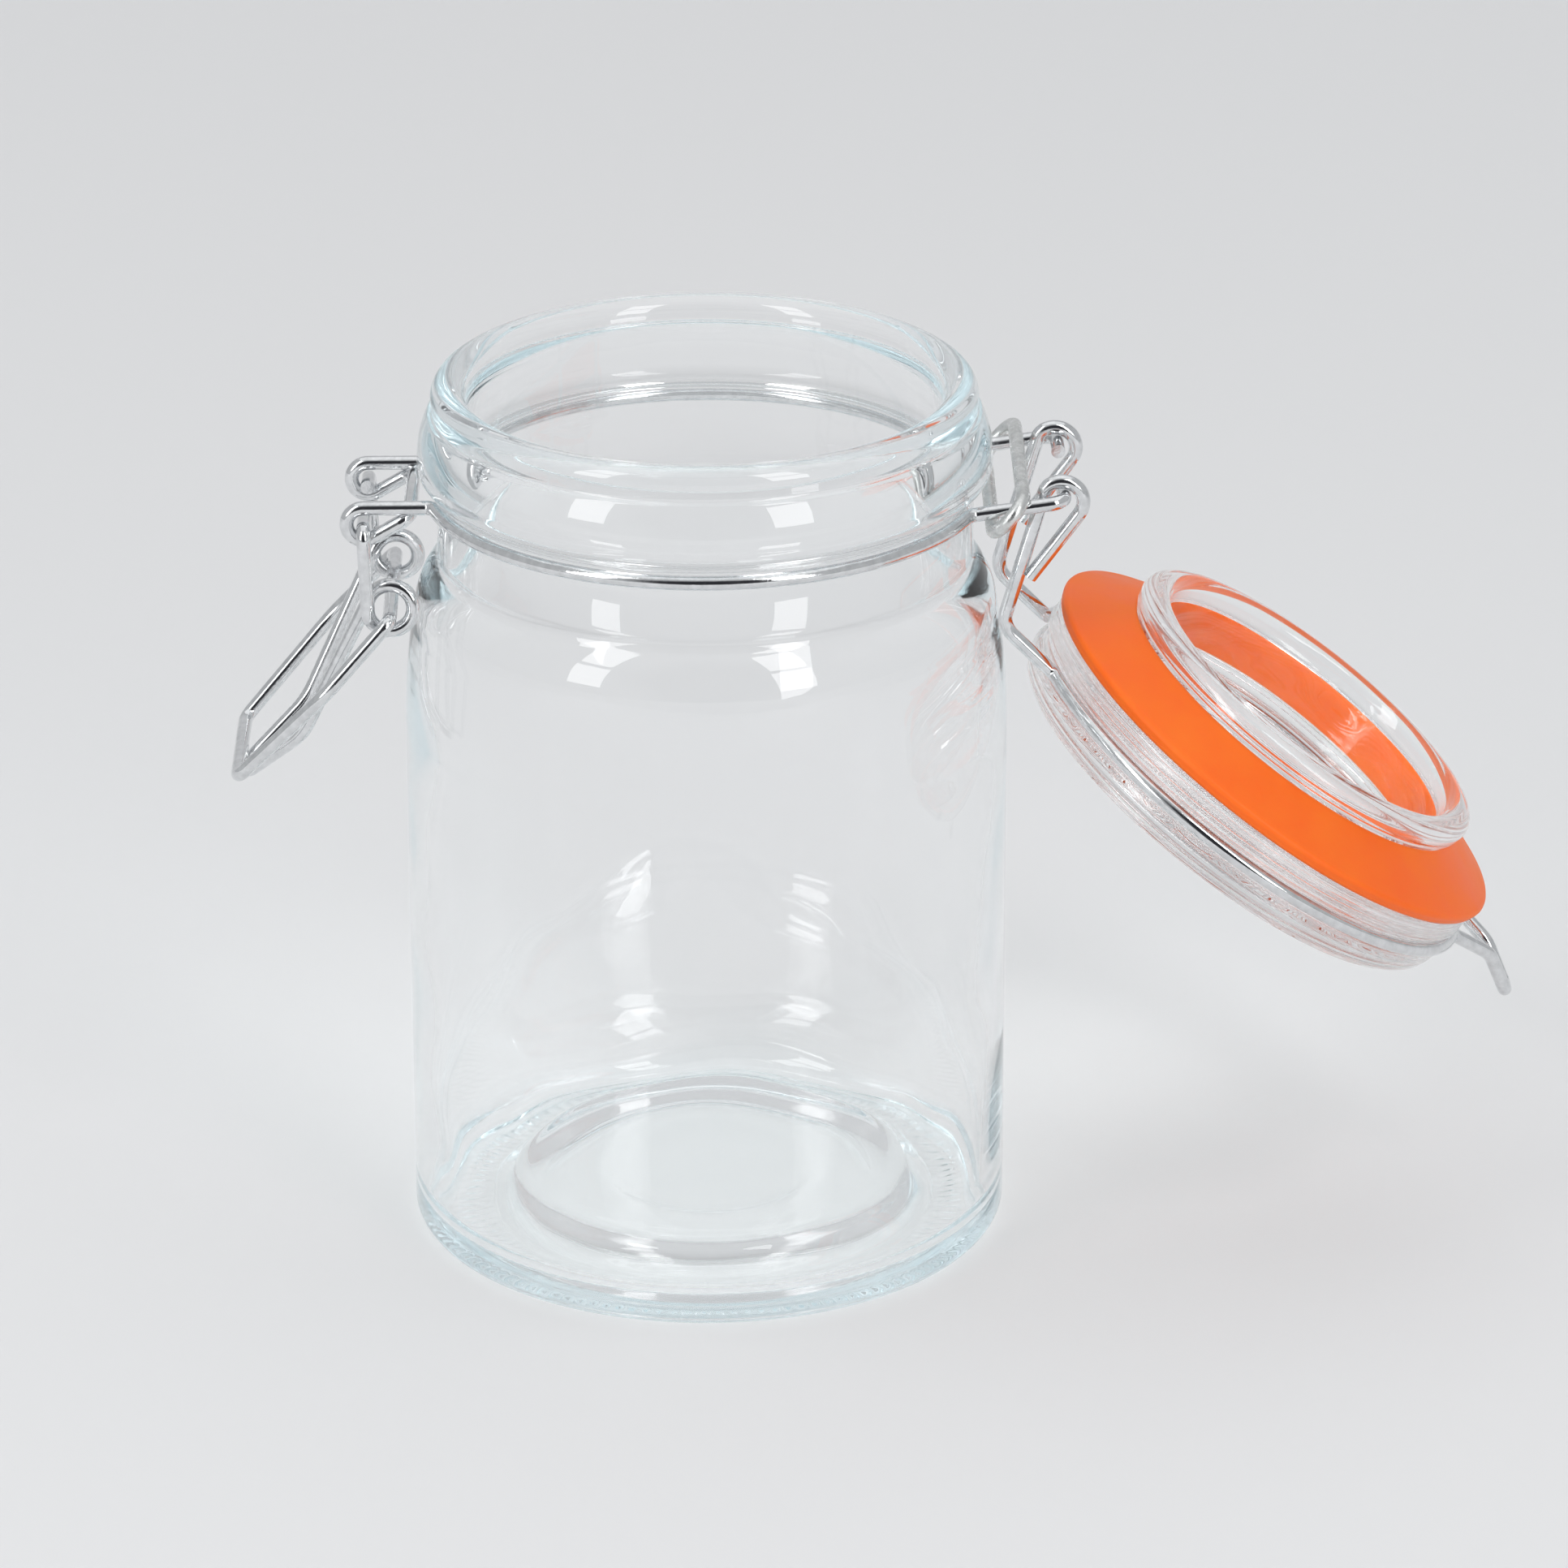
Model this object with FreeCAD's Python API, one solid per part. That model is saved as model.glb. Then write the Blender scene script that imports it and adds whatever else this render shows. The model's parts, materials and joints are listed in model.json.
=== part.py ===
import FreeCAD, Part
import math
import os

# Clip-top (bail clamp) jar with its lid hanging open.  Millimetres, +Z up.
# The origin is the centre of the jar's base.  The hinge is on the +X side and the
# latch on the -X side; every hinge axis is parallel to Y.

V = FreeCAD.Vector

# ---- driving dimensions -------------------------------------------------------
WIRE = 2.0                # diameter of every bent wire
RUN = 0.08                # slack where a pin rests in its eye

BODY_R = 42.5             # outside radius of the jar's body
JAR_H = 126.6             # height of the glass lip
WALL = 3.0                # body wall
MOUTH_R = 33.5            # inside radius of the mouth
LIP_R = 38.2              # outside radius of the lip
COLLAR_R = 40.2           # bead under the lip
NECK_R = 37.6             # glass under the neck wire
NECK_Z = 110.8            # plane of the neck wire
NECK_WIRE_R = 38.8        # centre line of the neck wire

HINGE = V(49.7, 0, 112.7)        # axis of the lid hinge
LID_Z = 129.8                    # gasket's back plane above the base, lid closed
OPEN_ANGLE = 216.0               # degrees from closed to hanging open
TAIL_Y = 13.5                    # neck wire tails at the hinge
LEG_Y = 11.0                     # lid wire legs at the hinge
GROOVE_R = 36.5                  # centre line of the lid wire in the lid's groove
GROOVE_H = -5.0                  # its plane, below the gasket's back plane

EYE_Y = 9.1                      # neck wire eyes at the latch
EYE_R = 2.35                     # centre line radius of an eye
EYE_X = -47.45                   # centre of the eyes
LEVER_Y = 11.6                   # lever legs above the coils
HANDLE_Y = 9.5                   # lever legs below the coils
COIL_R = 3.15                    # centre line radius of a lever coil
COIL = V(-43.9, 0, 96.5)         # axis of the lever's coils
LOOP_Y = 13.9                    # latch loop beside the coils


# ---- bent wire ----------------------------------------------------------------
def turn(centre, radius, start, end, y_start, y_end, corners=6):
    """Corners of a route that turns in XZ about an axis parallel to Y.

    The corners stand outside the circle, so the bends between them are the circle.
    Angles are in degrees from +X towards +Z.
    """
    step = math.radians(end - start) / corners
    reach = radius / math.cos(step / 2)
    route = []
    for i in range(corners):
        a = math.radians(start) + (i + 0.5) * step
        y = y_start + (y_end - y_start) * (i + 0.5) / corners
        corner = V(centre.x + reach * math.cos(a), y, centre.z + reach * math.sin(a))
        route.append((corner, radius))
    return route


def bend(before, corner, after, radius):
    """The tangent arc that rounds a corner: its first, middle and last point."""
    e1 = (corner - before).normalize()
    e2 = (after - corner).normalize()
    half = e1.getAngle(e2) / 2
    room = min((corner - before).Length, (after - corner).Length)
    trim = min(radius * math.tan(half), room * 0.5)
    r = trim / math.tan(half)
    inward = (e2 - e1).normalize()
    centre = corner + inward * (r / math.cos(half))
    return corner - e1 * trim, centre - inward * r, corner + e2 * trim


def wire_edges(route):
    """Straight runs joined by tangent arcs along the (corner, radius) list."""
    edges = []
    here = route[0][0]
    for i in range(1, len(route) - 1):
        a, m, b = bend(route[i - 1][0], route[i][0], route[i + 1][0], route[i][1])
        if (a - here).Length > 1e-3:
            edges.append(Part.makeLine(here, a))
        edges.append(Part.Arc(a, m, b).toShape())
        here = b
    if (route[-1][0] - here).Length > 1e-3:
        edges.append(Part.makeLine(here, route[-1][0]))
    return edges


def sweep(edges):
    """A round wire along connected edges."""
    first = edges[0]
    start = first.valueAt(first.FirstParameter)
    along = first.tangentAt(first.FirstParameter)
    section = Part.Wire([Part.makeCircle(WIRE / 2, start, along)])
    return Part.Wire(edges).makePipeShell([section], True, False)


def rod(route):
    return sweep(wire_edges(route))


def circle_exit(radius, angle, y):
    """Where a tangent of a circle in the XY plane meets the line at the given y.

    The tangent touches the circle `angle` degrees from the X axis.
    """
    a = math.radians(angle)
    run = (radius * math.sin(a) - y) / math.cos(a)
    return radius * math.cos(a) + run * math.sin(a)


# ---- glass --------------------------------------------------------------------
def revolved(edges):
    return Part.Face(Part.Wire(edges)).revolve(V(0, 0, 0), V(0, 0, 1), 360)


def outline(points):
    """Profile edges in the XZ plane: 2 numbers a corner, 4 an arc's middle and end."""
    edges = []
    here = V(points[0][0], 0, points[0][1])
    for step in points[1:]:
        there = V(step[-2], 0, step[-1])
        if len(step) == 4:
            edges.append(Part.Arc(here, V(step[0], 0, step[1]), there).toShape())
        else:
            edges.append(Part.makeLine(here, there))
        here = there
    return edges


def glass_jar():
    """Lip, collar bead, neck groove, rounded shoulder, straight body and a
    ring to stand on round a pushed-up centre."""
    lip_round = (LIP_R - MOUTH_R) / 2
    lip_mid = (LIP_R + MOUTH_R) / 2
    inner = BODY_R - WALL
    return revolved(outline([
        (0, 3.2),
        (14, 3.2),
        (24.5, 2.3, 31.5, 0),
        (36.6, 0),
        (40.2, 0.2),
        (41.85, 0.9, BODY_R, 2.7),
        (BODY_R, 76),
        (42.1, 85, 41.0, 93.6),
        (39.8, 97.6, 38.0, 100.2),
        (37.75, 100.8, NECK_R, 101.8),
        (NECK_R, 111.4),
        (37.8, 112.0, 38.3, 112.3),
        (39.7, 113.3, COLLAR_R, 115.6),
        (39.7, 119.2, 38.6, 121.9),
        (38.1, 122.3, LIP_R, 122.9),
        (LIP_R, JAR_H - lip_round),
        (lip_mid, JAR_H, MOUTH_R, JAR_H - lip_round),
        (MOUTH_R, 113),
        (33.7, 107, 35.0, 101.5),
        (37.6, 95.5, 38.7, 90),
        (39.3, 84, inner, 76),
        (inner, 7.5),
        (38.6, 4.7, 36.0, 3.6),
        (33.8, 3.3, 31.6, 3.7),
        (28.9, 5.9),
        (27.6, 7.0, 25.8, 7.4),
        (12, 7.5),
        (0, 7.5),
        (0, 3.2),
    ]))


def closed_lid_frame(shape):
    """Lid coordinates to the open lid's place.

    In lid coordinates X points away from the hinge and Z from the gasket's back
    plane towards the jar.
    """
    shape.rotate(V(0, 0, 0), V(0, 1, 0), 180)
    shape.translate(V(0, 0, LID_Z))
    shape.rotate(HINGE, V(0, 1, 0), OPEN_ANGLE)
    return shape


def glass_lid():
    """Domed top, grooved flange under the gasket and a beaded skirt."""
    return closed_lid_frame(revolved(outline([
        (0, -11.3),
        (12, -11.3),
        (21.5, -11.2, 30.5, -10.9),
        (35.6, -9.6, 36.3, -6.9),
        (36.2, -6.5, 35.8, -6.3),
        (35.5, -6.2, 35.4, -5.9),
        (35.4, -4.1),
        (35.6, -3.8, 36.2, -3.6),
        (36.6, -3.3, 36.7, -2.8),
        (36.7, -0.9),
        (36.5, -0.3, 35.9, -0.1),
        (27.6, -0.1),
        (27.6, 6.2),
        (28.3, 6.6, 28.6, 7.6),
        (28.6, 9.4, 27.0, 10.3),
        (25.2, 10.1, 24.5, 8.6),
        (23.9, -2.0),
        (23.2, -4.6, 20.7, -5.9),
        (0, -6.4),
        (0, -11.3),
    ])))


def sealing_gasket():
    """Rubber ring round the skirt, thick at the skirt and thin at its rim."""
    return closed_lid_frame(revolved(outline([
        (27.8, 0),
        (36.2, 0),
        (36.9, 0.2, 37.2, 0.9),
        (37.4, 1.7, 36.9, 2.1),
        (28.6, 5.95),
        (28.1, 6.1, 27.8, 5.8),
        (27.8, 0),
    ])))


# ---- wires on the jar ---------------------------------------------------------
TAIL_ANGLE = 24           # where the neck circle turns off to a tail, from the X axis
LATCH_ANGLE = 17          # where it turns off to an eye
PIN_END = 6.8             # the tails' inward ends stop this far from the mid plane
CROSSBAR = V(-41.0, 0, 109.5)    # the neck wire's bar between its eyes
RETURN_ANGLE = 301        # where an eye ends and its return to the crossbar starts


def neck_wire():
    """One wire: a hinge pin and tail, half the neck, an eye, the crossbar between
    the eyes, and the same again on the other side."""
    tail_x = circle_exit(NECK_WIRE_R, TAIL_ANGLE, TAIL_Y)
    latch_x = -circle_exit(NECK_WIRE_R, LATCH_ANGLE, EYE_Y)
    a = math.radians(TAIL_ANGLE)
    b = math.radians(180 - LATCH_ANGLE)
    on_a = V(NECK_WIRE_R * math.cos(a), -NECK_WIRE_R * math.sin(a), NECK_Z)
    on_b = V(NECK_WIRE_R * math.cos(b), -NECK_WIRE_R * math.sin(b), NECK_Z)
    tail_corner = V(tail_x, -TAIL_Y, NECK_Z)
    latch_corner = V(latch_x, -EYE_Y, NECK_Z)

    tail = [
        (V(HINGE.x, -PIN_END, HINGE.z), 0),
        (V(HINGE.x, -TAIL_Y, HINGE.z), 2.0),
        (tail_corner, 4.0),
        (on_a, 0),
    ]
    tail_edges = wire_edges(tail)
    half = Part.Arc(on_a, V(0, -NECK_WIRE_R, NECK_Z), on_b).toShape()
    eye_centre = V(EYE_X, 0, NECK_Z - EYE_R)
    eye = [(on_b, 0), (latch_corner, 3.0)]
    eye += turn(eye_centre, EYE_R, 90, RETURN_ANGLE, -EYE_Y, -EYE_Y)
    eye += [(V(CROSSBAR.x, -EYE_Y, CROSSBAR.z), 1.7), (V(CROSSBAR.x, 0, CROSSBAR.z), 0)]
    front = sweep(tail_edges + [half] + wire_edges(eye))
    rear = front.mirror(V(0, 0, 0), V(0, 1, 0))
    return front.fuse(rear).removeSplitter()


def tie_ring():
    """Oval ring squeezed round both tails; its ends butt at the bottom front."""
    centre = V(41.8, 0, 111.42)
    slant = V(math.sin(math.radians(40)), 0, math.cos(math.radians(40)))
    half_gap = 3.2
    half_length = 17.3
    butt_y = -9.0
    butt_gap = 0.3

    def at(y, across):
        return centre + V(0, y, 0) + slant * across

    return rod([
        (at(butt_y, -half_gap), 0),
        (at(-half_length, -half_gap), half_gap),
        (at(-half_length, half_gap), half_gap),
        (at(half_length, half_gap), half_gap),
        (at(half_length, -half_gap), half_gap),
        (at(butt_y + butt_gap, -half_gap), 0),
    ])


# ---- wire on the lid ----------------------------------------------------------
ARCH_R = 3.05             # centre line radius of a hook
ARCH_TILT = 13            # the hook's mouth leans this many degrees from the lid's axis
KNEE = V(-45.3, 0, -3.3)  # bend that rests against the jar when the lid hangs open
HOOK_TAIL = 11.5          # straight free end of a hook
LID_TAIL_ANGLE = 21       # where the groove circle turns off to a leg
TONGUE_ANGLE = 15         # where it turns off to the tongue


def hook_corners(y):
    """From a hook's free end over the hinge pin and down to the knee."""
    pin = V(-HINGE.x, y, LID_Z - HINGE.z)
    tilt = math.radians(ARCH_TILT)
    slack = ARCH_R - WIRE - RUN
    centre = pin - V(-math.sin(tilt), 0, math.cos(tilt)) * slack
    knee = V(KNEE.x, y, KNEE.z)
    across = centre - knee
    reach = math.hypot(across.x, across.z)
    aim = math.degrees(math.atan2(across.z, across.x))
    swing = math.degrees(math.asin(ARCH_R / reach))
    touch = aim - swing + 90
    free_end = V(centre.x + ARCH_R, y, centre.z - HOOK_TAIL)
    return [(free_end, 0)] + turn(centre, ARCH_R, 0, touch, y, y) + [(knee, 3.5)]


def lid_wire():
    """One wire: a hinge hook, a leg, half the groove, the tongue and back."""
    leg_x = -circle_exit(GROOVE_R, LID_TAIL_ANGLE, LEG_Y)
    a = math.radians(180 - LID_TAIL_ANGLE)
    b = math.radians(TONGUE_ANGLE)
    on_a = V(GROOVE_R * math.cos(a), -GROOVE_R * math.sin(a), GROOVE_H)
    on_b = V(GROOVE_R * math.cos(b), -GROOVE_R * math.sin(b), GROOVE_H)
    off_b = on_b + V(math.sin(b), math.cos(b), 0) * 2.0
    leg = hook_corners(-LEG_Y) + [(V(leg_x, -LEG_Y, GROOVE_H), 3.0), (on_a, 0)]
    half = Part.Arc(on_a, V(0, -GROOVE_R, GROOVE_H), on_b).toShape()
    tongue = [
        (on_b, 0),
        (off_b, 2.5),
        (V(44.0, -2.3, -5.8), 4.0),
        (V(49.6, -1.5, -9.3), 1.5),
        (V(49.6, 0, -9.3), 0),
    ]
    front = sweep(wire_edges(leg) + [half] + wire_edges(tongue))
    rear = front.mirror(V(0, 0, 0), V(0, 1, 0))
    return closed_lid_frame(front.fuse(rear).removeSplitter())


# ---- latch --------------------------------------------------------------------
LEVER_PIN = V(EYE_X, 0, NECK_Z - 2 * EYE_R + WIRE + RUN)   # resting low in the eyes
LEVER_PIN_END = 6.2       # the lever's inward ends stop this far from the mid plane
HANDLE_LEAN = 24.8        # upper handle, degrees from vertical
TIP_LEAN = 47.6           # lower handle, degrees from vertical
HANDLE_LENGTH = 24.0
TIP_LENGTH = 11.0
HANDLE_BEND_Y = 6.6       # half width of the handle at its bend
TIP_Y = 2.2               # half width of the handle's tip
LOOP_PIVOT = COIL + V(-0.1, 0, -0.83)
LOOP_END = V(-65.9, 0, 71.4)
LOOP_WIDE = 16.0          # half width of the loop's bellied sides
LOOP_END_Y = 11.2         # half width of its end bar


def lean(angle):
    """Unit vector that points down and towards the latch side."""
    return V(-math.sin(math.radians(angle)), 0, -math.cos(math.radians(angle)))


def latch_lever():
    """One wire: pin, leg, coil, handle leg, rounded tip and back."""
    exit_angle = 360 + 180 - HANDLE_LEAN
    across = V(LEVER_PIN.x - COIL.x, 0, LEVER_PIN.z - COIL.z)
    reach = math.hypot(across.x, across.z)
    aim = math.degrees(math.atan2(across.z, across.x))
    touch = aim + math.degrees(math.acos(COIL_R / reach))
    out = math.radians(exit_angle)
    coil_exit = COIL + V(math.cos(out), 0, math.sin(out)) * COIL_R
    knee = coil_exit + lean(HANDLE_LEAN) * HANDLE_LENGTH
    tip = knee + lean(TIP_LEAN) * TIP_LENGTH
    route = [
        (V(LEVER_PIN.x, -LEVER_PIN_END, LEVER_PIN.z), 0),
        (V(LEVER_PIN.x, -LEVER_Y, LEVER_PIN.z), 1.5),
    ]
    route += turn(COIL, COIL_R, touch, exit_angle, -LEVER_Y, -HANDLE_Y, corners=10)
    route += [
        (V(knee.x, -HANDLE_BEND_Y, knee.z), 9.0),
        (V(tip.x, -TIP_Y, tip.z), TIP_Y),
        (V(tip.x, 0, tip.z), 0),
    ]
    front = rod(route)
    rear = front.mirror(V(0, 0, 0), V(0, 1, 0))
    return front.fuse(rear).removeSplitter()


def latch_loop():
    """Closed loop through both coils that lies on the handle."""
    def along(share, y):
        p = LOOP_PIVOT + (LOOP_END - LOOP_PIVOT) * share
        return V(p.x, y, p.z)

    front = rod([
        (along(0, 0), 0),
        (along(0, -LOOP_Y), 1.6),
        (along(0.42, -LOOP_WIDE), 12.0),
        (along(1, -LOOP_END_Y), 2.2),
        (along(1, 0), 0),
    ])
    rear = front.mirror(V(0, 0, 0), V(0, 1, 0))
    return front.fuse(rear).removeSplitter()


# ---- output -------------------------------------------------------------------
NODES = {
    "glass_jar": glass_jar,
    "glass_lid": glass_lid,
    "sealing_gasket": sealing_gasket,
    "neck_wire": neck_wire,
    "neck_wire_tie_ring": tie_ring,
    "lid_wire": lid_wire,
    "latch_lever": latch_lever,
    "latch_loop": latch_loop,
}


def main():
    os.makedirs("parts", exist_ok=True)
    for name, build in NODES.items():
        shape = build()
        box = shape.BoundBox
        print(f"{name}: valid {shape.isValid()}, solids {len(shape.Solids)}, "
              f"volume {shape.Volume:.0f}, x {box.XMin:.1f}..{box.XMax:.1f}, "
              f"y {box.YMin:.1f}..{box.YMax:.1f}, z {box.ZMin:.1f}..{box.ZMax:.1f}")
        shape.exportStep(f"parts/{name}.step")


main()
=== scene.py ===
import bpy
import json
import math
from mathutils import Matrix, Vector


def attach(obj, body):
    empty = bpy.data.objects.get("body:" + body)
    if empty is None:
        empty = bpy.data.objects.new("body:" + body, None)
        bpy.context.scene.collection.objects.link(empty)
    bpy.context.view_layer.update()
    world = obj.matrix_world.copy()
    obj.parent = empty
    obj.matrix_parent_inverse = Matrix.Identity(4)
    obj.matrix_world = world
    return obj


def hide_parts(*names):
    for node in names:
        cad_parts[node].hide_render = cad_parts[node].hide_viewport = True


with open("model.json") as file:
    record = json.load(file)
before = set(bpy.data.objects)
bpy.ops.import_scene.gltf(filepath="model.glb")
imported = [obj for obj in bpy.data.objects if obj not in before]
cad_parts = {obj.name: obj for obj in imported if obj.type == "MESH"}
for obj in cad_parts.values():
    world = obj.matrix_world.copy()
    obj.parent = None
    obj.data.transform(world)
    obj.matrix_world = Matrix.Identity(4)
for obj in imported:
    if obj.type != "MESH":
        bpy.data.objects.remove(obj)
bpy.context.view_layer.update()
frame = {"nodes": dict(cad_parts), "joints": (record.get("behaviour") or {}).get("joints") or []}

MM = 0.001

# ---- driving dimensions, in millimetres ---------------------------------------
BODY_R = 42.5             # outside radius of the jar's body
WALL = 3.0                # body wall
JAR_H = 126.6             # height of the glass lip
MOUTH_R = 33.5            # inside radius of the mouth
LIP_R = 38.2              # outside radius of the lip
COLLAR_R = 40.2           # bead under the lip
NECK_R = 37.6             # glass under the neck wire
LID_Z = 129.8             # gasket's back plane above the base, lid closed
OPEN_ANGLE = 216.0        # degrees from closed to hanging open

ARC_STEP = 0.35           # longest chord along a profile's arcs
LINE_STEP = 2.5           # longest piece of a profile's straight runs
JAR_SEGMENTS = 480
LID_SEGMENTS = 360
SHARP = 50                # degrees between faces that makes an edge sharp

joints = {j["name"]: j for j in frame["joints"]}
HINGE = Vector(joints["lid_hinge"]["pos_m"])


# ---- lathe work ---------------------------------------------------------------
def arc_points(a, m, b):
    """Points along the arc from a through m to b, without a itself."""
    (ax, ay), (mx, my), (bx, by) = a, m, b
    d = 2 * (ax * (my - by) + mx * (by - ay) + bx * (ay - my))
    sa, sm, sb = ax * ax + ay * ay, mx * mx + my * my, bx * bx + by * by
    cx = (sa * (my - by) + sm * (by - ay) + sb * (ay - my)) / d
    cy = (sa * (bx - mx) + sm * (ax - bx) + sb * (mx - ax)) / d
    r = math.hypot(ax - cx, ay - cy)
    start = math.atan2(ay - cy, ax - cx)
    middle = math.atan2(my - cy, mx - cx)
    end = math.atan2(by - cy, bx - cx)
    turn = (end - start) % (2 * math.pi)
    if (middle - start) % (2 * math.pi) > turn:
        turn -= 2 * math.pi
    n = max(4, math.ceil(abs(turn) * r / ARC_STEP))
    angles = [start + turn * i / n for i in range(1, n + 1)]
    return [(cx + r * math.cos(a), cy + r * math.sin(a)) for a in angles]


def outline(steps):
    """Profile points (radius, height): 2 numbers a corner, 4 an arc's middle and end."""
    points = [tuple(steps[0])]
    for step in steps[1:]:
        here = points[-1]
        there = (step[-2], step[-1])
        if len(step) == 4:
            points += arc_points(here, (step[0], step[1]), there)
            continue
        n = max(1, math.ceil(math.dist(here, there) / LINE_STEP))
        for i in range(1, n + 1):
            t = i / n
            points.append(tuple(h + (e - h) * t for h, e in zip(here, there)))
    return points


def lathe(name, profile, segments, ripple=None, place=Matrix.Identity(4)):
    """A closed body turned about Z from a profile that starts and ends on the axis,
    or closes on itself.  ripple(r, z, angle, inside) returns the moved (r, z);
    inside is true past the profile's highest point."""
    on_axis = profile[0][0] == 0
    ring = profile[1:-1] if on_axis else profile[:-1]
    verts, faces = [], []
    crest = max(range(len(ring)), key=lambda i: ring[i][1])
    for i, (r, z) in enumerate(ring):
        for k in range(segments):
            a = 2 * math.pi * k / segments
            rr, zz = ripple(r, z, a, i > crest) if ripple else (r, z)
            verts.append((rr * math.cos(a) * MM, rr * math.sin(a) * MM, zz * MM))
    rows = len(ring)
    last = rows - 1 if on_axis else rows
    for i in range(last):
        low, high = i * segments, (i + 1) % rows * segments
        for k in range(segments):
            n = (k + 1) % segments
            faces.append((low + k, low + n, high + n, high + k))
    if on_axis:
        for row, (r, z) in ((0, profile[0]), (rows - 1, profile[-1])):
            pole = len(verts)
            verts.append((0, 0, z * MM))
            for k in range(segments):
                a, b = row * segments + k, row * segments + (k + 1) % segments
                faces.append((pole, b, a) if row == 0 else (pole, a, b))
    mesh = bpy.data.meshes.new(name)
    mesh.from_pydata([place @ Vector(v) for v in verts], [], faces)
    mesh.update()
    for p in mesh.polygons:
        p.use_smooth = True
    obj = bpy.data.objects.new(name, mesh)
    bpy.context.scene.collection.objects.link(obj)
    face_outward(mesh)
    mesh.set_sharp_from_angle(angle=math.radians(SHARP))
    return obj


def face_outward(mesh):
    """Turns every face of a closed body to point out of it."""
    volume = 0
    for p in mesh.polygons:
        v = [mesh.vertices[i].co for i in p.vertices]
        for i in range(1, len(v) - 1):
            volume += v[0].dot(v[i].cross(v[i + 1]))
    if volume < 0:
        mesh.flip_normals()


# ---- glass jar ----------------------------------------------------------------
TICKS = 120               # small radial ribs moulded under the heel
TICK_DEPTH = 0.16
STANDING_RING = (33.0, 36.2)


def jar_profile():
    lip_round = (LIP_R - MOUTH_R) / 2
    lip_mid = (LIP_R + MOUTH_R) / 2
    inner = BODY_R - WALL
    return outline([
        (0, 3.2),
        (14, 3.2),
        (24.5, 2.3, 31.5, 0),
        (36.6, 0),
        (40.2, 0.2),
        (41.85, 0.9, BODY_R, 2.7),
        (BODY_R, 76),
        (42.1, 85, 41.0, 93.6),
        (39.8, 97.6, 38.0, 100.2),
        (37.75, 100.8, NECK_R, 101.8),
        (NECK_R, 111.4),
        (37.8, 112.0, 38.3, 112.3),
        (39.7, 113.3, COLLAR_R, 115.6),
        (39.7, 119.2, 38.6, 121.9),
        (38.1, 122.3, LIP_R, 122.9),
        (LIP_R, JAR_H - lip_round),
        (lip_mid, JAR_H, MOUTH_R, JAR_H - lip_round),
        (MOUTH_R, 113),
        (33.7, 107, 35.0, 101.5),
        (37.6, 95.5, 38.7, 90),
        (39.3, 84, inner, 76),
        (inner, 7.5),
        (38.6, 4.7, 36.0, 3.6),
        (33.8, 3.3, 31.6, 3.7),
        (28.9, 5.9),
        (27.6, 7.0, 25.8, 7.4),
        (12, 7.5),
        (0, 7.5),
    ])


def jar_ripple(r, z, a, inside):
    """Ribs under the standing ring, and the slow unevenness of pressed and blown
    glass on the inside.  The outside stays true."""
    low, high = STANDING_RING
    if not inside and z < 1.0 and low < r < high:
        rib = 0.5 + 0.5 * math.cos(TICKS * a)
        fade = math.sin(math.pi * (r - low) / (high - low))
        return r, z + TICK_DEPTH * rib * fade
    if not inside or r < 10:
        return r, z
    wave = 0.10 * math.sin(3 * a + z / 9) + 0.07 * math.sin(7 * a - z / 6 + 1)
    wave += 0.05 * math.sin(2 * a + z / 3.1)
    fade = min(1, max(0, z - 5.5) / 10) * min(1, max(0, JAR_H - 3 - z) / 8)
    return r + wave * fade, z


# ---- lid ----------------------------------------------------------------------
def lid_place():
    """Lid coordinates, in metres, to the open lid's place.

    In lid coordinates X points away from the hinge and Z from the gasket's back
    plane towards the jar.
    """
    closed = Matrix.Translation((0, 0, LID_Z * MM)) @ Matrix.Rotation(math.pi, 4, "Y")
    swing = Matrix.Rotation(math.radians(OPEN_ANGLE), 4, "Y")
    return Matrix.Translation(HINGE) @ swing @ Matrix.Translation(-HINGE) @ closed


DOME_RINGS_R = 12         # the dome's fine rings start here and are full 8 mm out
RING_FADE = 8
BORE_R = 25.7             # everything inside this radius faces the lid's hollow
CEILING_H = -2            # the hollow's wall ends and its ceiling starts here


def lid_profile():
    return outline([
        (0, -11.3),
        (12, -11.3),
        (21.5, -11.2, 30.5, -10.9),
        (35.6, -9.6, 36.3, -6.9),
        (36.2, -6.5, 35.8, -6.3),
        (35.5, -6.2, 35.4, -5.9),
        (35.4, -4.1),
        (35.6, -3.8, 36.2, -3.6),
        (36.6, -3.3, 36.7, -2.8),
        (36.45, -2.45, 36.65, -2.1),
        (36.4, -1.75, 36.6, -1.4),
        (36.7, -0.9),
        (36.5, -0.3, 35.9, -0.1),
        (27.6, -0.1),
        (27.6, 6.2),
        (28.3, 6.6, 28.6, 7.6),
        (28.6, 9.4, 27.0, 10.3),
        (25.2, 10.1, 24.5, 8.6),
        (23.9, -2.0),
        (23.2, -4.6, 20.7, -5.9),
        (0, -6.4),
    ])


def lid_ripple(r, z, a, inside):
    """Pressed glass: fine rings on the domed top and the ceiling, and a slightly
    uneven inside wall to the skirt."""
    if z < -7.5 and r > DOME_RINGS_R:
        rings = 0.045 * (1 + math.sin(4.2 * r))
        return r, z + rings * min(1, (r - DOME_RINGS_R) / RING_FADE)
    if inside and r < BORE_R:
        if z > CEILING_H:
            wave = 0.05 * math.sin(4 * a + z / 2.0) + 0.03 * math.sin(9 * a - z / 1.7 + 2)
            return r + wave * min(1, max(0, 8.0 - z)), z
        return r, z + 0.04 * math.sin(1.3 * r) * min(1, r / RING_FADE)
    return r, z


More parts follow.
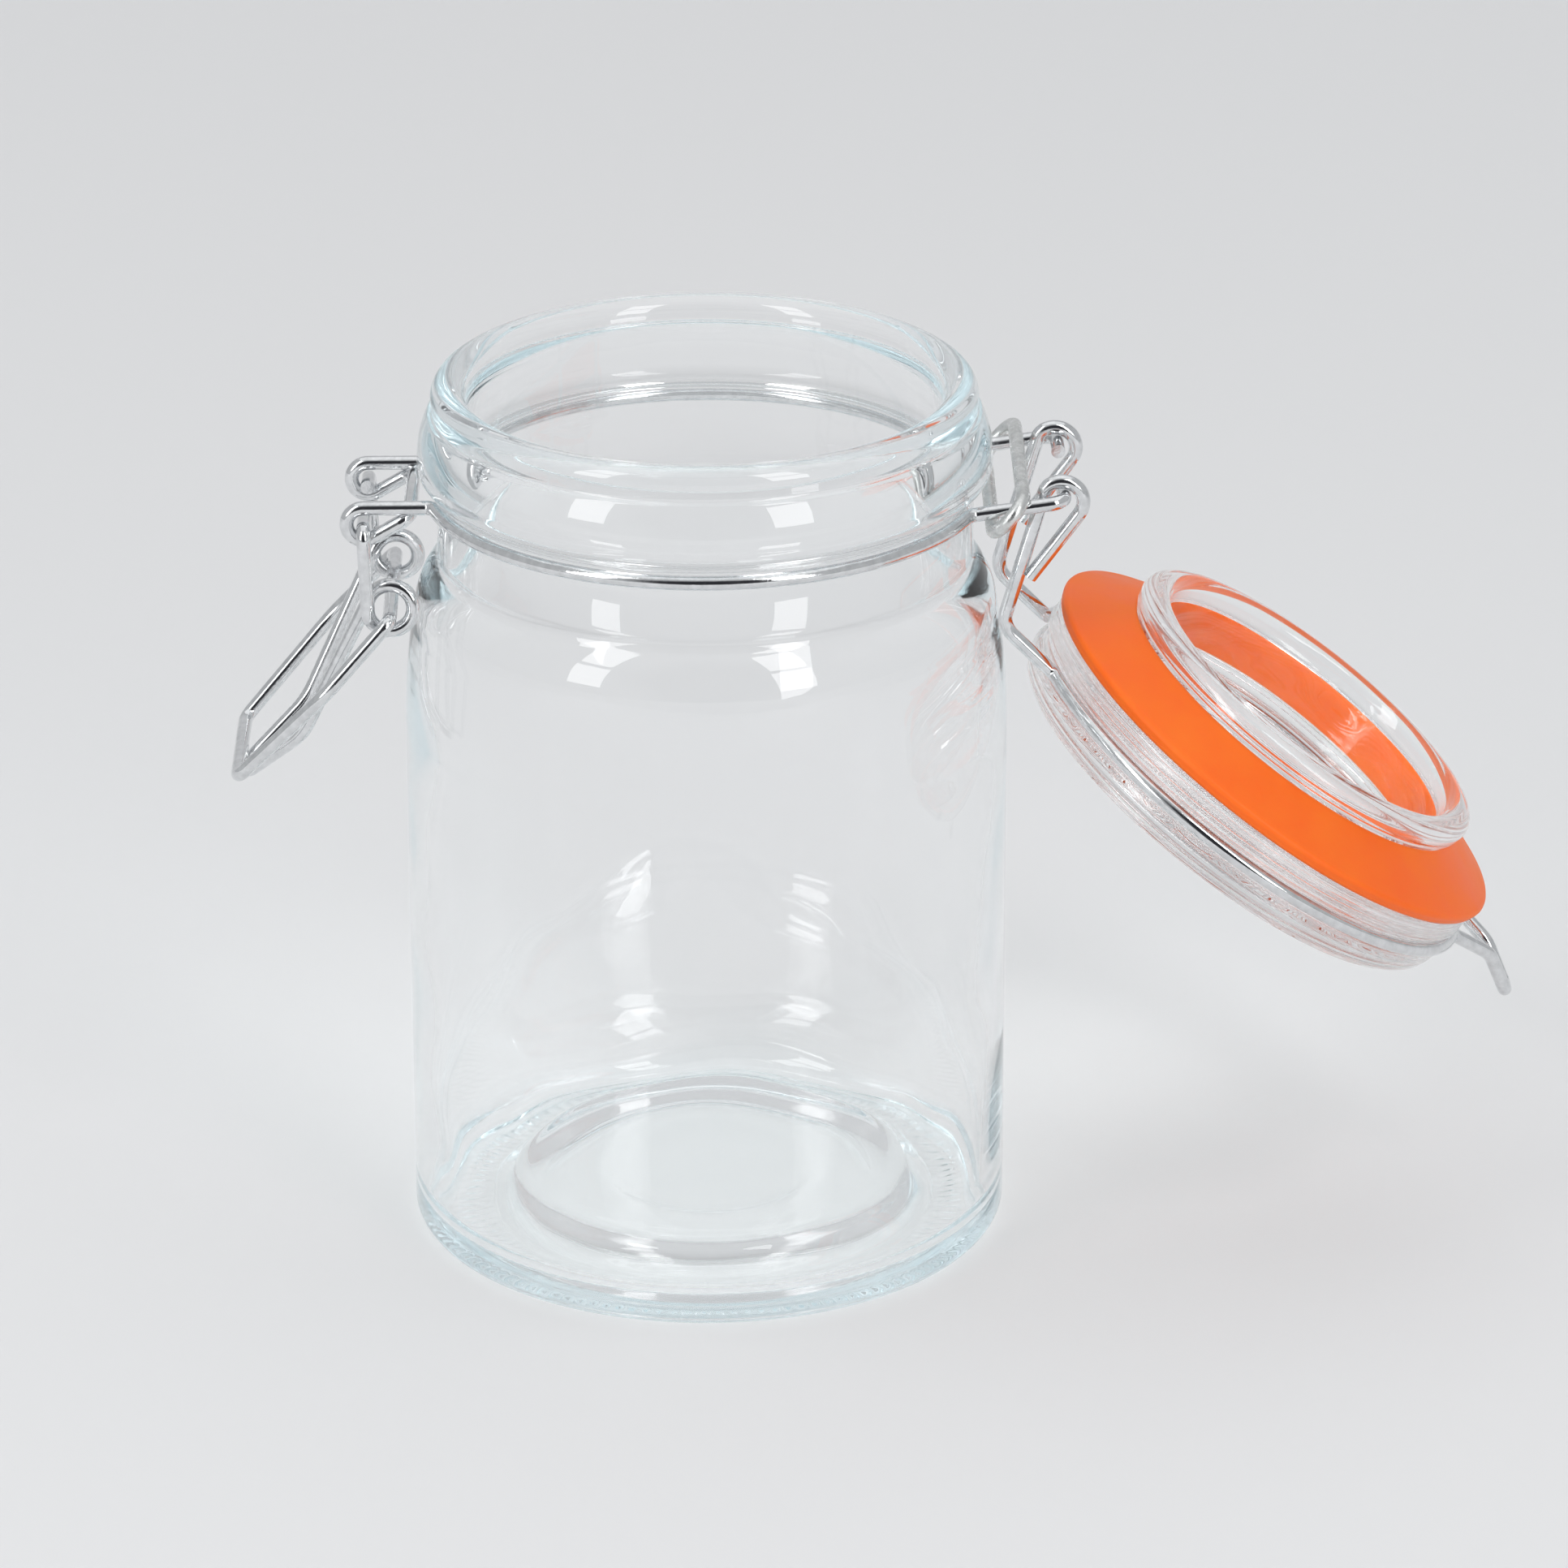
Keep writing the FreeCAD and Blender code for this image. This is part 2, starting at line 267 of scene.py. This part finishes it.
def gasket_profile():
    return outline([
        (27.8, 0),
        (36.2, 0),
        (36.9, 0.2, 37.2, 0.9),
        (37.4, 1.7, 36.9, 2.1),
        (28.6, 5.95),
        (28.1, 6.1, 27.8, 5.8),
        (27.8, 0),
    ])


# ---- materials ----------------------------------------------------------------
def new_material(name):
    mat = bpy.data.materials.new(name)
    mat.use_nodes = True
    tree = mat.node_tree
    shader = tree.nodes["Principled BSDF"]
    return mat, tree, shader


def noise(tree, scale, detail=3.0, roughness=0.5, stretch=(1, 1, 1)):
    """Noise in object coordinates; scale is per metre."""
    coords = tree.nodes.new("ShaderNodeTexCoord")
    mapping = tree.nodes.new("ShaderNodeMapping")
    mapping.inputs["Scale"].default_value = stretch
    tex = tree.nodes.new("ShaderNodeTexNoise")
    tex.inputs["Scale"].default_value = scale
    tex.inputs["Detail"].default_value = detail
    tex.inputs["Roughness"].default_value = roughness
    tree.links.new(coords.outputs["Object"], mapping.inputs["Vector"])
    tree.links.new(mapping.outputs["Vector"], tex.inputs["Vector"])
    return tex.outputs["Fac"]


def ramp(tree, source, low, high, at=(0.35, 0.65)):
    """Maps a factor to a grey or a colour between two stops."""
    node = tree.nodes.new("ShaderNodeValToRGB")
    for element, value, place in zip(node.color_ramp.elements, (low, high), at):
        colour = value if isinstance(value, tuple) else (value, value, value)
        element.color = (*colour, 1)
        element.position = place
    tree.links.new(source, node.inputs["Fac"])
    return node.outputs["Color"]


def bump(tree, shader, source, depth, strength=1.0):
    node = tree.nodes.new("ShaderNodeBump")
    node.inputs["Distance"].default_value = depth
    node.inputs["Strength"].default_value = strength
    tree.links.new(source, node.inputs["Height"])
    tree.links.new(node.outputs["Normal"], shader.inputs["Normal"])


def glass(name, wave_scale, wave_depth, tint, density, stretch=(1, 1, 0.5)):
    """Clear soda-lime glass: a faint blue tint in depth, a slow wave in the surface and
    faint wiping marks in its gloss.  Shadow rays pass straight through."""
    mat, tree, shader = new_material(name)
    shader.inputs["Base Color"].default_value = (1, 1, 1, 1)
    shader.inputs["Transmission Weight"].default_value = 1.0
    shader.inputs["IOR"].default_value = 1.5
    smear = noise(tree, 60, 5, 0.6, (1, 1, 0.4))
    tree.links.new(ramp(tree, smear, 0.0, 0.035, (0.5, 0.8)), shader.inputs["Roughness"])
    bump(tree, shader, noise(tree, wave_scale, 2, 0.4, stretch), wave_depth)
    clear = tree.nodes.new("ShaderNodeBsdfTransparent")
    clear.inputs["Color"].default_value = (0.93, 0.945, 0.945, 1)
    path = tree.nodes.new("ShaderNodeLightPath")
    mix = tree.nodes.new("ShaderNodeMixShader")
    out = tree.nodes["Material Output"]
    tree.links.new(path.outputs["Is Shadow Ray"], mix.inputs["Fac"])
    tree.links.new(shader.outputs["BSDF"], mix.inputs[1])
    tree.links.new(clear.outputs["BSDF"], mix.inputs[2])
    tree.links.new(mix.outputs["Shader"], out.inputs["Surface"])
    depth = tree.nodes.new("ShaderNodeVolumeAbsorption")
    depth.inputs["Color"].default_value = (*tint, 1)
    depth.inputs["Density"].default_value = density
    tree.links.new(depth.outputs["Volume"], out.inputs["Volume"])
    return mat


def rubber():
    """Moulded silicone: soft satin skin with a fine grain and a slight mottle."""
    mat, tree, shader = new_material("orange_silicone")
    patch = noise(tree, 90, 4, 0.55)
    colour = ramp(tree, patch, (0.98, 0.135, 0.004), (1.0, 0.175, 0.008), (0.3, 0.7))
    tree.links.new(colour, shader.inputs["Base Color"])
    shader.inputs["Subsurface Weight"].default_value = 0.25
    shader.inputs["Subsurface Radius"].default_value = (0.004, 0.0015, 0.0006)
    shader.inputs["Subsurface Scale"].default_value = 0.6
    shader.inputs["Specular IOR Level"].default_value = 0.35
    tree.links.new(ramp(tree, patch, 0.42, 0.55), shader.inputs["Roughness"])
    bump(tree, shader, noise(tree, 2600, 3, 0.6), 0.00004, 0.5)
    return mat


def plated_wire(name, colour, dull, rough, grain_depth):
    """Drawn wire under zinc: fine mottling in its colour and gloss."""
    mat, tree, shader = new_material(name)
    shader.inputs["Metallic"].default_value = 1.0
    patch = noise(tree, 700, 5, 0.65)
    tree.links.new(ramp(tree, patch, dull, colour), shader.inputs["Base Color"])
    tree.links.new(ramp(tree, patch, rough[1], rough[0]), shader.inputs["Roughness"])
    bump(tree, shader, noise(tree, 1800, 4, 0.6), grain_depth, 0.6)
    return mat


jar_glass = glass("jar_glass_clear", 28, 0.0006, (0.66, 0.85, 0.90), 5.5)
lid_glass = glass("lid_glass_clear", 24, 0.00008, (0.82, 0.90, 0.91), 2.0, (1, 1, 1))
silicone = rubber()
zinc = plated_wire(
    "zinc_plate", (0.80, 0.81, 0.82), (0.66, 0.67, 0.68), (0.05, 0.14), 0.00002)
galvanised = plated_wire(
    "galvanised", (0.84, 0.85, 0.84), (0.60, 0.61, 0.60), (0.22, 0.40), 0.00008)


def dress(obj, mat):
    obj.data.materials.clear()
    obj.data.materials.append(mat)


jar = lathe("jar_body_glass", jar_profile(), JAR_SEGMENTS, jar_ripple)
dress(jar, jar_glass)
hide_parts("glass_jar")
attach(jar, "jar")

lid = lathe("lid_pressed_glass", lid_profile(), LID_SEGMENTS, lid_ripple, lid_place())
dress(lid, lid_glass)
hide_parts("glass_lid")
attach(lid, "lid")

gasket = lathe("gasket_ring", gasket_profile(), LID_SEGMENTS, None, lid_place())
dress(gasket, silicone)
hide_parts("sealing_gasket")
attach(gasket, "lid")

for node in ("neck_wire", "lid_wire", "latch_lever", "latch_loop"):
    dress(frame["nodes"][node], zinc)
dress(frame["nodes"]["neck_wire_tie_ring"], galvanised)
for node in ("neck_wire", "lid_wire", "latch_lever", "latch_loop", "neck_wire_tie_ring"):
    for p in frame["nodes"][node].data.polygons:
        p.use_smooth = True

# ---- floor, backdrop, light ---------------------------------------------------
FLOOR_NEAR = -1.6
FLOOR_DROP = 0.0002       # keeps the floor off the plane of the standing ring
FLOOR_FAR = 1.5
SWEEP_R = 0.8
SWEEP_STEPS = 24
BACKDROP_H = 2.2
HALF_WIDTH = 2.4


def backdrop():
    """One pale sheet: flat floor, a round sweep and an upright back."""
    path = [(FLOOR_NEAR, 0.0), (FLOOR_FAR, 0.0)]
    for i in range(1, SWEEP_STEPS + 1):
        a = math.pi / 2 * i / SWEEP_STEPS
        path.append((FLOOR_FAR + SWEEP_R * math.sin(a), SWEEP_R * (1 - math.cos(a))))
    path.append((FLOOR_FAR + SWEEP_R, BACKDROP_H))
    verts, faces = [], []
    for y, z in path:
        z -= FLOOR_DROP
        verts += [(-HALF_WIDTH, y, z), (HALF_WIDTH, y, z)]
    for i in range(len(path) - 1):
        faces.append((2 * i, 2 * i + 1, 2 * i + 3, 2 * i + 2))
    mesh = bpy.data.meshes.new("backdrop")
    mesh.from_pydata(verts, [], faces)
    for p in mesh.polygons:
        p.use_smooth = True
    obj = bpy.data.objects.new("backdrop", mesh)
    bpy.context.scene.collection.objects.link(obj)
    mat, tree, shader = new_material("studio_paper")
    shader.inputs["Base Color"].default_value = (0.80, 0.80, 0.805, 1)
    shader.inputs["Roughness"].default_value = 0.9
    shader.inputs["Specular IOR Level"].default_value = 0.1
    obj.data.materials.append(mat)


def area_light(name, place, aim, size, power):
    light = bpy.data.lights.new(name, "AREA")
    light.shape = "RECTANGLE"
    light.size, light.size_y = size
    light.energy = power
    obj = bpy.data.objects.new(name, light)
    obj.location = place
    obj.rotation_euler = (Vector(aim) - Vector(place)).to_track_quat("-Z", "Y").to_euler()
    bpy.context.scene.collection.objects.link(obj)


backdrop()
WINDOW_SIZE = (0.36, 0.60)
WINDOW_POWER = 3.4
area_light("overhead", (0.0, 0.2, 1.9), (0, 0.1, 0), (2.2, 1.8), 6.0)
for side, azimuth in (("left", -47), ("right", 35)):
    a = math.radians(azimuth)
    for row, height, back in (("low", 0.55, 1.35), ("high", 1.22, 1.15)):
        spot = (back * math.sin(a), -back * math.cos(a), height)
        area_light(f"window_{side}_{row}", spot, (0, 0, 0.1), WINDOW_SIZE, WINDOW_POWER)
area_light("backdrop_glow", (0, 1.2, 1.7), (0, 2.2, 0.5), (2.6, 0.5), 3.6)


def sky():
    """Soft room light from all round, with a darker patch of room in front."""
    room, dark = (0.52, 0.53, 0.54), (0.03, 0.03, 0.035)
    world = bpy.data.worlds.new("studio")
    bpy.context.scene.world = world
    world.use_nodes = True
    tree = world.node_tree
    coords = tree.nodes.new("ShaderNodeTexCoord")
    aim = tree.nodes.new("ShaderNodeVectorMath")
    aim.operation = "DOT_PRODUCT"
    aim.inputs[1].default_value = Vector((0.05, -0.93, 0.36)).normalized()
    tree.links.new(coords.outputs["Generated"], aim.inputs[0])
    path = tree.nodes.new("ShaderNodeLightPath")
    mirror = tree.nodes.new("ShaderNodeMath")
    mirror.operation = "SUBTRACT"
    mirror.use_clamp = True
    tree.links.new(path.outputs["Is Glossy Ray"], mirror.inputs[0])
    tree.links.new(path.outputs["Is Transmission Ray"], mirror.inputs[1])
    patch = tree.nodes.new("ShaderNodeMath")
    patch.operation = "MULTIPLY"
    tree.links.new(ramp(tree, aim.outputs["Value"], 0.0, 1.0, (0.80, 0.93)), patch.inputs[0])
    tree.links.new(mirror.outputs["Value"], patch.inputs[1])
    colour = ramp(tree, patch.outputs["Value"], room, dark, (0, 1))
    tree.links.new(colour, tree.nodes["Background"].inputs["Color"])


sky()
bpy.context.scene.view_settings.view_transform = "Standard"

# Light is guided a long way inside thick glass, so its paths may be long.
GLASS_BOUNCES = 64
INNER_MIRROR_BOUNCES = 60
CLEAR_BOUNCES = 24
cycles = bpy.context.scene.cycles
cycles.max_bounces = GLASS_BOUNCES
cycles.glossy_bounces = INNER_MIRROR_BOUNCES
cycles.transmission_bounces = GLASS_BOUNCES
cycles.transparent_max_bounces = CLEAR_BOUNCES

# ---- camera -------------------------------------------------------------------
CAMERA_PLACE = Vector((-1.157, -1003.573, 483.485)) * MM
PITCH, YAW, ROLL = 22.626, 0.691, -0.110
FOCAL = 175.63            # on a 36 mm sensor

pitch, yaw, roll = (math.radians(v) for v in (PITCH, YAW, ROLL))
level = Vector((math.sin(yaw), math.cos(yaw), 0))
ahead = level * math.cos(pitch) - Vector((0, 0, 1)) * math.sin(pitch)
right = ahead.cross(Vector((0, 0, 1))).normalized()
up = right.cross(ahead)
right, up = (right * math.cos(roll) + up * math.sin(roll),
             up * math.cos(roll) - right * math.sin(roll))
lens = bpy.data.cameras.new("camera")
lens.sensor_width = 36
lens.lens = FOCAL
lens.clip_start = 0.05
camera = bpy.data.objects.new("camera", lens)
camera.matrix_world = Matrix((
    (right.x, up.x, -ahead.x, CAMERA_PLACE.x),
    (right.y, up.y, -ahead.y, CAMERA_PLACE.y),
    (right.z, up.z, -ahead.z, CAMERA_PLACE.z),
    (0, 0, 0, 1),
))
bpy.context.scene.collection.objects.link(camera)
bpy.context.scene.camera = camera
